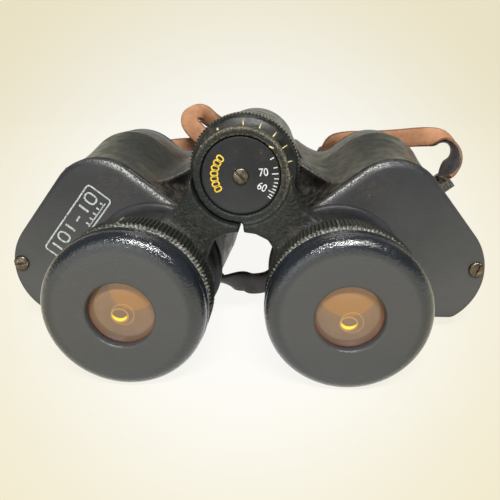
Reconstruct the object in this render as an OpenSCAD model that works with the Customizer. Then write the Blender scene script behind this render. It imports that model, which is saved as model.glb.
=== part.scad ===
// Folding Porro-prism binoculars, 8x30 pattern, with a centre focus wheel and a leather neck strap.
// +X is to the right as the user holds them, +Y runs from the eyecups to the objectives, +Z is up.
// The origin is on the surface they stand on, under the middle of the body.
// Working coordinates have the hinge axis on the Y axis and the eyecup faces at y = 0;
// in_place() moves them to the origin. In a half's own frame its eyepiece is straight below the hinge.

/* [Fold] */
// Distance between the two eyepiece axes as the body stands, in mm
ipd = 50.5; // [50.5:0.5:54]
// Distance from the hinge axis to each eyepiece axis
hinge_to_eyepiece = 37.4; // [37:0.1:38]

/* [Prism housings] */
// Sideways shift of the light from eyepiece axis to objective axis, away from the hinge
shift_out = 18.8; // [18.4:0.1:19.2]
// Shift of the light from eyepiece axis to objective axis, downward
shift_down = 16.8; // [16.4:0.1:17]
// Wall of the castings
wall = 2.2; // [1.6:0.1:2.8]
// Distance along Y from the eyepiece side of a housing to its objective side
housing_len = 41.6; // [41:0.1:42.5]
// How far the objective side of a housing swells beyond the eyepiece side
flare = 4.2; // [3:0.1:5]
// Thickness of the cover plates
cover_t = 2.5; // [2:0.1:2.5]

/* [Eyepieces] */
// Outer radius of an eyecup
cup_r = 18.6; // [18:0.1:19]
// Radius of the hole in an eyecup
cup_hole_r = 7.7; // [7:0.1:8.2]
// Radius over the knurls of the eyepiece rings
ring_r = 19; // [18.6:0.1:19.4]
// Turn of the knurls, grooves to a ring
ring_grooves = 66; // [48:2:80]

/* [Bridge and focus] */
// Radius of the bridge hub
hub_r = 11.9; // [11.4:0.1:12]
// Radius of the width-scale disc
disc_r = 9.75; // [9:0.05:9.75]
// Radius over the knurls of the focus wheel
wheel_r = 14.9; // [14:0.1:15.2]
// Radius of the hinge knuckles
knuckle_r = 14.6; // [14:0.1:14.8]

/* [Objectives] */
// Outer radius of an objective ring
objective_r = 17.9; // [17.4:0.1:18.2]
// Clear radius of an objective
aperture_r = 15; // [14.5:0.1:15.2]

/* [Strap] */
// Width of the strap
strap_w = 7.5; // [6:0.5:8]

/* [Hidden] */
$fn = 96;

// Fold
half_angle = asin(ipd / 2 / hinge_to_eyepiece);
block_tilt = -3.8; // of a housing's outline against its half's own frame
play = 0.06; // radial running clearance
gap = 0.3; // between faces that pass each other
mid_gap = 0.5; // each half's distance from the middle plane

// Stations along Y, from the eyecup faces
cup_back = 7.4;
lens_y = 2.2; // rim of the eye lens
ring_y = [7.6, 14.6];
arm_y = [17.6, 25.2];
collar_y = [16.4, 25.2];
boss_front = 26.6;
rear_y = 27.9;
housing_y = rear_y + cover_t;
housing_end = housing_y + housing_len;
front_end = housing_end + cover_t;
tube_end = 102;
overall_len = 112;
shelf_y = [49.5, 52.4];
wheel_y = [27.6, 40];
knuckles = [41, 49.8, 68, 84]; // front left, then the right one between, then rear left
web_y = [44, 72];

// Housing outline, in a frame at the eyepiece axis with x away from the hinge
end_r = [17.6, 17.2]; // around the eyepiece axis and around the objective axis
edge_out = 36;
edge_top = 17.4;
corner_r = [14, 15.5];
foot_dir = -128.7; // the flat foot of the casting looks this way
foot = 15.7;
screw_at = [30.7, -23.9];
boss_r = 18.6;

// Eyepiece radii
barrel_r = 14.6;
barrel_bore = 13;
guide_r = 9.4;
cell_r = 12.2;
eye_lens_r = 9.6;
field_lens_r = 10.6;

// Hinge and focus radii
axle_r = 7;
axle_bore = 5;
spindle_r = 3;

eyepiece_z = -hinge_to_eyepiece * cos(half_angle);
objective_z = eyepiece_z + shift_out * sin(half_angle + block_tilt)
    - shift_down * cos(half_angle + block_tilt);
floor_z = objective_z - objective_r;

// Colours
black = "#232527";
satin = "#34373a";
bakelite = "#1d1e20";
bronze = "#8d7a55";
steel = "#6f7275";
glass = "#c79a4a";
clear = "#cfd8d8";
tan = "#a9714a";

// ---------- frames ----------

module in_place() translate([0, -overall_len / 2, -floor_z]) children();

// A half's own frame: side is 1 for the right half and -1 for the left one
module half(side) {
    in_place() {
        if (side > 0) rotate([0, -half_angle, 0]) children();
        else mirror([1, 0, 0]) rotate([0, -half_angle, 0]) children();
    }
}

// The same half with the origin on its eyepiece axis, and with it on its objective axis
module at_eyepiece(side) half(side) translate([0, 0, -hinge_to_eyepiece]) children();
module at_objective(side) at_eyepiece(side) rotate([0, -block_tilt, 0])
    translate([shift_out, 0, -shift_down]) children();

// A 2D shape drawn in X and Z, extruded along Y
module along_y(y0, y1) translate([0, y1, 0]) rotate([90, 0, 0]) linear_extrude(height = y1 - y0)
    children();

// A profile of [radius, y] points turned about the Y axis
module turned(points) rotate([-90, 0, 0]) rotate_extrude() polygon(points);

module rod(r, y0, y1) translate([0, y0, 0]) rotate([-90, 0, 0]) cylinder(r = r, h = y1 - y0);

// Points of an arc as [radius, y]
function arc(c, r, a0, a1, steps = 6) =
    [for (i = [0:steps]) let (a = a0 + (a1 - a0) * i / steps) c + r * [cos(a), sin(a)]];

// A knurled outline
module knurl(r, depth, grooves) polygon([for (i = [0:2 * grooves - 1])
    let (a = 180 * i / grooves, q = r - (i % 2) * depth) q * [cos(a), sin(a)]]);

// ---------- prism housings ----------

// The outline of a housing, k from 0 at the eyepiece side to 1 at the objective side
module outline(k, inset = 0) intersection() {
    hull() {
        circle(r = end_r[0] + 1.4 * k - inset, $fn = 48);
        translate([shift_out, -shift_down]) circle(r = end_r[1] + 1.4 * k - inset, $fn = 48);
        translate([edge_out + flare * k - corner_at(k), edge_top + 3.2 * k - corner_at(k)])
            circle(r = corner_at(k) - inset, $fn = 32);
    }
    rotate(foot_dir) translate([-80, -80]) square([80 + foot + 0.6 * k - inset, 160]);
}
function corner_at(k) = corner_r[0] + (corner_r[1] - corner_r[0]) * k;

module block(y0, y1) translate([0, 0, -hinge_to_eyepiece]) rotate([0, -block_tilt, 0])
    along_y(y0, y1) children();

// Everything on the other side of the middle plane, in a half's own frame
module beyond_middle() rotate([0, half_angle, 0]) translate([-60 + mid_gap, 0, -60])
    cube([60, 120, 120]);

// The neck between a housing and the hinge, hollowed on its upper side
module web() difference() {
    along_y(web_y[0], web_y[1]) polygon([
        [-9, -5], [-9, -22], [-4, -26], [22, -26], [24, -21], [24, -14], [17, -5], [10, -5]
    ]);
    translate([34.3, web_y[0] - 0.1, -5.5]) rotate([-90, 0, 0])
        cylinder(r1 = 23.5, r2 = 20, h = web_y[1] - web_y[0] + 0.2);
    rod(knuckle_r + 0.4, web_y[0] - 1, web_y[1] + 1);
    beyond_middle();
}

// A hinge knuckle with the arm that ties it to the web
module knuckle(y0, y1) {
    rod(knuckle_r, y0, y1);
    along_y(max(y0, web_y[0]), min(y1, web_y[1]))
        polygon([[-9, -6], [-9, -20], [8, -20], [12, -12], [13.2, -7], [13.6, -3]]);
}

// A hollow casting with a shelf between the two prisms, and its knuckles
module housing(side) color(satin) half(side) difference() {
    union() {
        hull() {
            block(housing_y, housing_y + 0.5) outline(0);
            block(housing_end - 14, housing_end) outline(1);
        }
        web();
        if (side > 0) knuckle(knuckles[1] + gap, knuckles[2] - gap);
        else {
            knuckle(knuckles[0], knuckles[1]);
            knuckle(knuckles[2], knuckles[3]);
        }
    }
    block(housing_y - 1, shelf_y[0]) outline(0, wall);
    block(shelf_y[1], housing_end + 1) outline(0.85, wall);
    // windows in the shelf: to the eyepiece, from the objective, and between the prisms
    translate([0, 0, -hinge_to_eyepiece]) rotate([0, -block_tilt, 0]) {
        rod(7.6, shelf_y[0] - 1, shelf_y[1] + 1);
        translate([shift_out, 0, 0]) rod(7.6, shelf_y[0] - 1, shelf_y[1] + 1);
        translate([shift_out, 0, -shift_down]) rod(8.2, shelf_y[0] - 1, shelf_y[1] + 1);
    }
    rod(axle_r + (side > 0 ? play : 0), knuckles[0] - 1, knuckles[3] + 1);
}

// The plate over the eyepiece side, with the boss and the tube that guide the eyepiece
module rear_cover(side) color(black) difference() {
    union() {
        half(side) block(rear_y, housing_y) outline(0);
        at_eyepiece(side) {
            rod(boss_r, boss_front, rear_y);
            rod(guide_r + 1.1, housing_y - 0.5, 45);
        }
    }
    at_eyepiece(side) rod(guide_r + play, boss_front - 1, 46);
    screw_place(side) rod(1.3, -9, 4);
}

module screw_place(side) at_eyepiece(side) rotate([0, -block_tilt, 0])
    translate([screw_at[0], rear_y, screw_at[1]]) children();

// A round-head slotted screw, its head's underside at y = 0
module slotted_screw(head_r, head_h, shank_r, shank_len) difference() {
    union() {
        turned(concat([[0, 0], [0, -head_h]],
            [for (i = [1:5]) [head_r * sin(18 * i), -head_h * (0.45 + 0.55 * cos(18 * i))]],
            [[head_r, 0]]));
        rod(shank_r, -0.01, shank_len);
    }
    rotate([0, 38, 0]) translate([-head_r - 1, -head_h - 1, -0.25])
        cube([2 * head_r + 2, 1 + head_h * 0.6, 0.5]);
}

module cover_screw(side) color(bronze) screw_place(side) slotted_screw(2.1, 1.1, 1.3, 2.5);

// The plate over the objective side, which carries the objective tube
module front_cover(side) color(black) difference() {
    half(side) block(housing_end, front_end) outline(1);
    at_objective(side) rod(16, housing_end - 1, front_end + 1);
}

// The loop that a strap end passes through
module strap_lug(side) color(black) half(side) difference() {
    block(59.5, 72) translate([edge_out + flare * 0.9, -13.6]) square([5, 2.6]);
    block(61.3, 70.2) translate([edge_out + flare * 0.9 + 2, -14.6]) square([2.1, 5]);
    hull() {
        block(housing_y, housing_y + 0.5) outline(0);
        block(housing_end - 14, housing_end) outline(1);
    }
}

// Right-angle prism: a face of size [length, width] at z = 0 and its roof toward +Z
module prism(len, w) translate([-len / 2, w / 2, 0]) rotate([90, 0, 0]) linear_extrude(height = w)
    polygon([[0.8, 0], [len - 0.8, 0], [len - 0.8, 0.6], [len / 2 + 0.6, len / 2 - 0.8],
        [len / 2 - 0.6, len / 2 - 0.8], [0.8, 0.6]]);

// The prism on the eyepiece side of the shelf turns the light upward
module prism_a(side) color(clear) at_eyepiece(side) rotate([0, -block_tilt, 0])
    translate([shift_out, shelf_y[0], -shift_down / 2]) rotate([90, 0, 0]) rotate([0, 0, 90])
        prism(2 * shift_down, 16);

// The prism on the objective side turns it toward the eyepiece axis
module prism_b(side) color(clear) at_eyepiece(side) rotate([0, -block_tilt, 0])
    translate([shift_out / 2, shelf_y[1], 0]) rotate([-90, 0, 0])
        prism(2 * shift_out, 16);

// ---------- objectives ----------

module objective_tube(side) color(black) at_objective(side) turned([
    [aperture_r, housing_end], [16, housing_end], [16, front_end], [17.7, front_end],
    [17.7, front_end + 2], [17.2, front_end + 3.4], [16.9, 98.8], [16.2, 98.8],
    [16.2, tube_end], [aperture_r, tube_end]
]);

module objective_ring(side) color(black) at_objective(side) turned([
    [16.2, 98.8], [objective_r - 0.5, 98.8], [objective_r, 99.6], [objective_r, 103],
    [objective_r - 0.7, 103.6], [objective_r - 0.7, 105.4], [objective_r, 106],
    [objective_r, overall_len - 1.2], [objective_r - 0.6, overall_len], [aperture_r + 1.2, overall_len],
    [aperture_r, 107.6], [aperture_r, 106], [15.6, 105.4], [15.6, tube_end], [16.2, tube_end]
]);

module objective_lens(side) color("#5d6f8a") at_objective(side) turned(concat(
    [[0, 100.8], [9, 101.2], [aperture_r - 0.1, tube_end], [15.6, tube_end], [15.6, 105.2]],
    [for (r = [15, 12, 9, 6, 3, 0]) [r, 105.2 + (225 - r * r) / 150]]));

// ---------- hinge ----------

module hinge_axle() color(steel) in_place() turned([
    [axle_bore, 40.6], [axle_r, 40.6], [axle_r, knuckles[3]], [axle_bore, knuckles[3]]
]);

module hinge_cap() color(black) in_place() difference() {
    turned([[0, 80], [axle_bore, 80], [axle_bore, knuckles[3]], [11, knuckles[3]],
        [11, 86.2], [10.2, 87], [0, 87]]);
    translate([-6, 86, -0.6]) cube([12, 2, 1.2]);
}

// ---------- focus ----------

// The wheel turns on the end of the axle and its thread moves the spindle
module focus_wheel() color(black) in_place() difference() {
    union() {
        turned([[0, wheel_y[0]], [10.6, wheel_y[0]], [13.5, 28.8], [14, 29.6], [14, wheel_y[1]],
            [axle_bore - play, wheel_y[1]], [axle_bore - play, 56], [0, 56]]);
        along_y(30.2, wheel_y[1] - 0.4) knurl(wheel_r, 0.5, 56);
    }
    rod(spindle_r + play, wheel_y[0] - 1, 57);
}

module focus_spindle() color(steel) in_place() difference() {
    rod(spindle_r, 20.9, 70);
    rod(1.2, 20, 27);
}

// A bridge arm: the hub, a waisted neck and the collar around the eyepiece barrel
module arm_neck() polygon([
    [9.3, -7.4], [7.2, -12], [6, -16.5], [6.9, -21], [0, -27],
    [-6.9, -21], [-6, -16.5], [-7.2, -13.2], [-9.1, -10.9], [-9.3, -7.4]
]);

module bridge_arm(side, hub_y) color(satin) half(side) difference() {
    union() {
        along_y(hub_y[0], hub_y[1]) circle(r = hub_r);
        difference() {
            union() {
                along_y(max(hub_y[0], arm_y[0]), min(hub_y[1], arm_y[1])) arm_neck();
                along_y(arm_y[0], arm_y[1]) difference() {
                    arm_neck();
                    circle(r = hub_r + gap);
                }
            }
            beyond_middle();
        }
        translate([0, 0, -hinge_to_eyepiece]) turned([[0, collar_y[0]], [16.6, collar_y[0]],
            [17.3, collar_y[0] + 0.8], [17.3, collar_y[1]], [0, collar_y[1]]]);
    }
    translate([0, 0, -hinge_to_eyepiece]) rod(barrel_r, 15, 27);
    rod(side > 0 ? spindle_r + play : spindle_r, 18, 28);
    if (side > 0) rod(disc_r + 0.15, 18, 21.05);
}

module left_bridge_arm() bridge_arm(-1, [22.95, 26.2]);
module right_bridge_arm() bridge_arm(1, [19.4, 22.8]);

module scale_disc() color(bakelite) in_place() difference() {
    turned([[0, 19.9], [disc_r - 0.3, 19.9], [disc_r, 20.1], [disc_r, 20.9], [0, 20.9]]);
    rod(1.2, 19, 22);
}

module disc_screw() color(bronze) in_place() translate([0, 19.9, 0])
    slotted_screw(2, 0.8, 1.2, 6);

// ---------- eyepieces ----------

module eyepiece_barrel(side) color(black) at_eyepiece(side) turned([
    [barrel_bore, collar_y[0]], [barrel_r, collar_y[0]], [barrel_r, collar_y[1]],
    [guide_r, collar_y[1]], [guide_r, 43], [guide_r - 0.8, 43], [guide_r - 0.8, 24.4],
    [barrel_bore, 24.4]
]);

// The threaded sleeve between barrel and cell: on the right it carries the dioptre movement
module ocular_sleeve(side) color(steel) at_eyepiece(side) turned([
    [cell_r + (side > 0 ? play : 0), 16.6], [barrel_bore - (side > 0 ? play : 0), 16.6],
    [barrel_bore - (side > 0 ? play : 0), 23.1], [cell_r + (side > 0 ? play : 0), 23.1]
]);

module ocular_cell(side) color(black) at_eyepiece(side) turned([
    [8.8, lens_y - 0.4], [cell_r, lens_y - 0.4], [cell_r, 23], [field_lens_r, 23], [field_lens_r, 9.6],
    [eye_lens_r, 9.6], [eye_lens_r, lens_y], [8.8, lens_y]
]);

module knurled_ring(side) color(black) at_eyepiece(side) difference() {
    union() {
        along_y(ring_y[0] + 0.7, ring_y[1] - 0.7) knurl(ring_r, 0.5, ring_grooves);
        rod(ring_r - 0.6, ring_y[0], ring_y[1]);
    }
    rod(cell_r, ring_y[0] - 1, ring_y[1] + 1);
}

module eyecup(side) color(bakelite) at_eyepiece(side) turned(concat(
    [[cell_r, lens_y - 0.4], [cup_hole_r, lens_y - 0.4]],
    arc([cup_hole_r + 0.7, 0.7], 0.7, 180, 270, 5),
    arc([cup_r - 3, 3], 3, 270, 360, 7),
    [[cup_r, 5.6], [cup_r - 0.35, 6.2], [cup_r - 0.35, cup_back], [cell_r, cup_back]]
));

module eye_lens(side) color(glass) at_eyepiece(side) turned([
    [0, lens_y - 0.6], [3, lens_y - 0.53], [6, lens_y - 0.3], [8, lens_y], [eye_lens_r, lens_y],
    [eye_lens_r, lens_y + 4], [6, lens_y + 4.8], [0, lens_y + 5.1]
]);

module field_lens(side) color(glass) at_eyepiece(side) turned([
    [0, 17.2], [6, 17.7], [field_lens_r, 18.6], [field_lens_r, 21.2], [0, 21.6]
]);

// ---------- strap ----------

// The strap stands on its edge. Each stretch is a list of [x, y, z] on its centreline, with z
// measured up from the surface the binoculars stand on, y from the eyecup faces.
edge_z = strap_w / 2 + 0.1;
right_route = [
    [67.6, 65.8, 37.4], [69, 67.5, 39.6], [71.2, 70.5, 42.9], [72.8, 74, 46.1], [72.8, 78.5, 49.2],
    [69.5, 83, 50.6], [64, 86.5, 50.4], [57.5, 89, 49.6], [50, 90.5, 48.9], [43, 91.5, 48.6],
    [37, 93, 48.3], [32, 97, 47], [30, 102, 44]];
mid_route = [
    [29.2, 103.6, 42.4], [27.6, 108, 37], [26.6, 112, 30], [26, 115.5, 23], [23.5, 120, 17],
    [18, 129, 13.4], [12, 137.5, 12.2], [8, 145, 12]
];
coil_at = [0, 175];
coil_r = [17.4, 32.5];
// from the coil to the crossing under the hinge
front_route = [
    [29.6, 153, edge_z], [24.6, 143.5, edge_z], [18, 130, edge_z], [12, 114, edge_z],
    [8.8, 98, edge_z], [7.9, 84, edge_z], [7.9, 70, edge_z], [7.4, 58, edge_z], [5, 51.5, edge_z],
    [0, 49.4, edge_z], [-6, 50.6, edge_z]
];
// flat on the floor, under the left casting: [x, y]
under_route = [[-10.2, 53.2], [-13.6, 58], [-18, 67], [-21.6, 78], [-24, 89], [-25, 98]];
under_z = [0.2, 2];
left_route = [
    [-25.2, 103.4, 4.2], [-23.6, 108, 8], [-19, 111.4, 15], [-13, 112.4, 24], [-7.6, 111.8, 34],
    [-6.2, 110, 42], [-9.6, 107.4, 48.6], [-14.6, 105, 53.6], [-19.6, 102.4, 57.4], [-24.2, 98.8, 59],
    [-27.4, 94.6, 58.2], [-27.6, 91.2, 55.4], [-24.6, 89.2, 51.8], [-20.4, 88.8, 48.4],
    [-16, 91.2, 45.6], [-13, 94.4, 44], [-13.6, 98, 43.6], [-18.4, 100.6, 44.2], [-24.5, 99.8, 44.8],
    [-31, 97.6, 44.8], [-38, 95.2, 44.3], [-46, 93, 43], [-54, 91.4, 41], [-62, 89.4, 38.2],
    [-69, 85.8, 35.8], [-73, 80.8, 34.8], [-73.4, 75.5, 35], [-71, 70, 36], [-67.6, 65.8, 37.4]];

function unit(v) = v / norm(v);
// A smooth curve through the points: Catmull-Rom, n steps to a span
function spline(p, n) = [for (i = [0:len(p) - 2], j = [0:n - 1]) catmull(p, i, j / n),
    p[len(p) - 1]];
function catmull(p, i, t) =
    let (a = p[max(i - 1, 0)], b = p[i], c = p[i + 1], d = p[min(i + 2, len(p) - 1)])
    b + t / 2 * (c - a) + t * t * (a - 2.5 * b + 2 * c - d / 2)
    + t * t * t / 2 * (3 * b - a - 3 * c + d);

// A plain round tube along the points, each ring square to the path, carried with the least twist
module tube(points, d, sides = 8) {
    n = len(points);
    dirs = [for (i = [0:n - 1]) unit(points[min(i + 1, n - 1)] - points[max(i - 1, 0)])];
    side0 = unit(cross(dirs[0], abs(dirs[0][2]) < 0.8 ? [0, 0, 1] : [1, 0, 0]));
    across = carried(dirs, side0);
    rings = [for (i = [0:n - 1], j = [0:sides - 1])
        let (a = 360 * j / sides, u = across[i], v = cross(dirs[i], u))
        points[i] + d / 2 * (u * cos(a) + v * sin(a))];
    faces = concat(
        [[for (j = [0:sides - 1]) j]],
        [for (i = [0:n - 2], j = [0:sides - 1]) let (k = (j + 1) % sides)
            [i * sides + j, (i + 1) * sides + j, (i + 1) * sides + k, i * sides + k]],
        [[for (j = [sides - 1:-1:0]) (n - 1) * sides + j]]);
    polyhedron(points = rings, faces = faces, convexity = 4);
}
function carried(dirs, u, i = 0, out = []) = i == len(dirs) ? out :
    let (w = unit(u - dirs[i] * (u * dirs[i]))) carried(dirs, w, i + 1, concat(out, [w]));

module strap_run(points) color(tan) translate([0, -overall_len / 2, 0]) tube(points, strap_w);
module strap_right() strap_run(right_route);
module strap_mid() strap_run(mid_route);
module strap_left() strap_run(left_route);
module strap_front() strap_run(front_route);
// The points of a flat band's outline, on one side of its centreline and on the other
function edge_of(p, w) = [for (i = [0:len(p) - 1])
    let (d = unit(p[min(i + 1, len(p) - 1)] - p[max(i - 1, 0)])) p[i] + w * [-d[1], d[0]]];
function turned_round(p) = [for (i = [len(p) - 1:-1:0]) p[i]];
module strap_under() color(tan) translate([0, -overall_len / 2, under_z[0]])
    linear_extrude(height = under_z[1] - under_z[0]) polygon(concat(
        edge_of(under_route, strap_w / 2), turned_round(edge_of(under_route, -strap_w / 2))));
module strap_coil() color(tan) translate([coil_at[0], coil_at[1] - overall_len / 2, 0.1])
    rotate_extrude() translate([coil_r[0], 0]) square([coil_r[1] - coil_r[0], strap_w]);

// ---------- nodes ----------

housing(-1);  // left_housing
rear_cover(-1);  // left_rear_cover
front_cover(-1);  // left_front_cover
cover_screw(-1);  // left_cover_screw
strap_lug(-1);  // left_strap_lug
prism_a(-1);  // left_prism_a
prism_b(-1);  // left_prism_b
objective_tube(-1);  // left_objective_tube
objective_ring(-1);  // left_objective_ring
objective_lens(-1);  // left_objective_lens
hinge_axle();
hinge_cap();
housing(1);  // right_housing
rear_cover(1);  // right_rear_cover
front_cover(1);  // right_front_cover
cover_screw(1);  // right_cover_screw
strap_lug(1);  // right_strap_lug
prism_a(1);  // right_prism_a
prism_b(1);  // right_prism_b
objective_tube(1);  // right_objective_tube
objective_ring(1);  // right_objective_ring
objective_lens(1);  // right_objective_lens
focus_wheel();
focus_spindle();
left_bridge_arm();
right_bridge_arm();
scale_disc();
disc_screw();
eyepiece_barrel(-1);  // left_eyepiece_barrel
ocular_sleeve(-1);  // left_ocular_sleeve
ocular_cell(-1);  // left_ocular_cell
knurled_ring(-1);  // left_knurled_ring
eyecup(-1);  // left_eyecup
eye_lens(-1);  // left_eye_lens
field_lens(-1);  // left_field_lens
eyepiece_barrel(1);  // right_eyepiece_barrel
ocular_sleeve(1);  // right_ocular_sleeve
ocular_cell(1);  // right_ocular_cell
knurled_ring(1);  // right_knurled_ring
eyecup(1);  // right_eyecup
eye_lens(1);  // right_eye_lens
field_lens(1);  // right_field_lens
strap_right();
strap_mid();
strap_coil();
strap_front();
strap_under();
strap_left();
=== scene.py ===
import math

import bpy
import bmesh
import numpy as np
from mathutils import Euler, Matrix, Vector


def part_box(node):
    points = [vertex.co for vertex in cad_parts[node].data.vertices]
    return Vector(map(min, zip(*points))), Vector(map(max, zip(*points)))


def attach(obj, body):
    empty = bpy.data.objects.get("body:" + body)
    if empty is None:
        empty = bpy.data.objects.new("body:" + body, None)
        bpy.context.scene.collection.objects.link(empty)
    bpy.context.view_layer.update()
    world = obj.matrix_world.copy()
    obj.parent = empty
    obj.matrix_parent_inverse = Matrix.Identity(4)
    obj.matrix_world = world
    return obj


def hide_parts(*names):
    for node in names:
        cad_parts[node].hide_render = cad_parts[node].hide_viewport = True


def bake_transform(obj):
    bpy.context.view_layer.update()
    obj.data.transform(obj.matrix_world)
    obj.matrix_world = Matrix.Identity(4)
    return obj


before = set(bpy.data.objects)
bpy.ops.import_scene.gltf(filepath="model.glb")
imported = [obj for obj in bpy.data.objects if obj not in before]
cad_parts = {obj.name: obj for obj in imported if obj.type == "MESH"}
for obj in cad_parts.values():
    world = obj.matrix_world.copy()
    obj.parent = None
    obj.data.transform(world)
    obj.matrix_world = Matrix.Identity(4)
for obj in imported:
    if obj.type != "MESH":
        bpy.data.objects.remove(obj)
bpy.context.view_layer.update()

# Lengths in this script are mm in a part's own frame and become metres in the functions that
# place them. Stations are distances along Y from the plane of the eyecup faces.
MM = 0.001
SIDES = {"left": -1, "right": 1}


# ---------- places taken from the frame ----------

def middle(node):
    lo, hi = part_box(node)
    return (np.array(lo) + np.array(hi)) / 2


eye = middle("right_eyecup")
objective = middle("right_objective_ring")
hinge = middle("hinge_axle")
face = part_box("right_eyecup")[0].y
SHIFT_OUT, SHIFT_DOWN = 18.8, 16.8       # from eyepiece axis to objective axis, in the block frame
half_angle = math.atan2(eye[0] - hinge[0], hinge[2] - eye[2])
tilt = math.atan2(objective[2] - eye[2], objective[0] - eye[0]) + math.atan2(SHIFT_DOWN, SHIFT_OUT)
to_eye = math.hypot(eye[0] - hinge[0], hinge[2] - eye[2]) / MM


def turn(p, angle, origin, side):
    """Points [across, station, up] of a frame turned by angle about Y at origin, as metres."""
    p = np.asarray(p, float)
    c, s = math.cos(angle), math.sin(angle)
    x = origin[0] + (p[..., 0] * c - p[..., 2] * s) * MM
    z = origin[2] + (p[..., 0] * s + p[..., 2] * c) * MM
    return np.stack([side * x, face + p[..., 1] * MM, z], -1)


def from_block(side, p):
    return turn(p, tilt, eye, side)


def from_half(side, p):
    return turn(p, half_angle, hinge, side)


def from_eye(side, p):
    return turn(p, 0, eye, side)


def from_hinge(p):
    return turn(p, 0, hinge, 1)


def from_floor(p):
    """Points [x, station, height above the floor]."""
    p = np.asarray(p, float)
    return np.stack([p[..., 0] * MM, face + p[..., 1] * MM, p[..., 2] * MM], -1)


# ---------- camera ----------

def add_camera():
    data = bpy.data.cameras.new("camera")
    ob = bpy.data.objects.new("camera", data)
    bpy.context.scene.collection.objects.link(ob)
    ob.location = (0.0102, -0.1353, 0.06566)
    ob.rotation_euler = Euler((math.radians(73.9), math.radians(-0.09), math.radians(1.9)), "XYZ")
    data.sensor_width, data.lens = 36, 29.592
    data.shift_x, data.shift_y = -0.038, -0.07
    data.clip_start = 0.005
    bpy.context.scene.camera = ob
    return ob


camera = add_camera()


# ---------- materials ----------

class Mat:
    """A Principled material whose nodes are built a line at a time."""

    def __init__(self, name, **fixed):
        self.m = bpy.data.materials.new(name)
        self.m.use_nodes = True
        self.t = self.m.node_tree
        self.b = self.t.nodes["Principled BSDF"]
        for k, v in fixed.items():
            self.b.inputs[k.replace("_", " ")].default_value = v
        self.co = self.t.nodes.new("ShaderNodeTexCoord").outputs["Object"]

    def add(self, kind, props, inputs):
        n = self.t.nodes.new("ShaderNode" + kind)
        for k, v in props.items():
            setattr(n, k, v)
        for k, v in inputs.items():
            self.put(n.inputs[k], v)
        return n

    def put(self, socket, v):
        if isinstance(v, bpy.types.NodeSocket):
            self.t.links.new(v, socket)
        else:
            socket.default_value = v

    def noise(self, scale, detail=4.0, rough=0.6, stretch=None, lump=0.0):
        co = self.co
        if stretch:
            co = self.add("Mapping", {}, {"Vector": co, "Scale": stretch}).outputs[0]
        return self.add("TexNoise", {}, {"Vector": co, "Scale": scale, "Detail": detail,
                                         "Roughness": rough, "Distortion": lump}).outputs[0]

    def cells(self, scale, feature="F1"):
        return self.add("TexVoronoi", {"feature": feature}, {"Vector": self.co, "Scale": scale}).outputs[0]

    def step(self, v, lo, hi, a=0.0, b=1.0):
        return self.add("MapRange", {"interpolation_type": "SMOOTHSTEP"},
                        {0: v, 1: lo, 2: hi, 3: a, 4: b}).outputs[0]

    def math(self, op, a, b=0.0, clamp=False):
        return self.add("Math", {"operation": op, "use_clamp": clamp}, {0: a, 1: b}).outputs[0]

    def mix(self, f, a, b):
        return self.add("Mix", {"data_type": "RGBA"}, {0: f, 6: a, 7: b}).outputs[2]

    def attr(self, name):
        return self.add("Attribute", {"attribute_name": name}, {}).outputs["Fac"]

    def edges(self, lo=0.53, hi=0.62):
        p = self.add("NewGeometry", {}, {}).outputs["Pointiness"]
        return self.step(p, lo, hi)

    def bump(self, height, strength, distance, under=None):
        ins = {"Height": height, "Strength": strength, "Distance": distance}
        if under:
            ins["Normal"] = under
        return self.add("Bump", {}, ins).outputs[0]

    def done(self, color=None, rough=None, normal=None, metal=None):
        for k, v in (("Base Color", color), ("Roughness", rough), ("Normal", normal), ("Metallic", metal)):
            if v is not None:
                self.put(self.b.inputs[k], v)
        return self.m


def rgb(r, g, b):
    return (r, g, b, 1.0)


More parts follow.
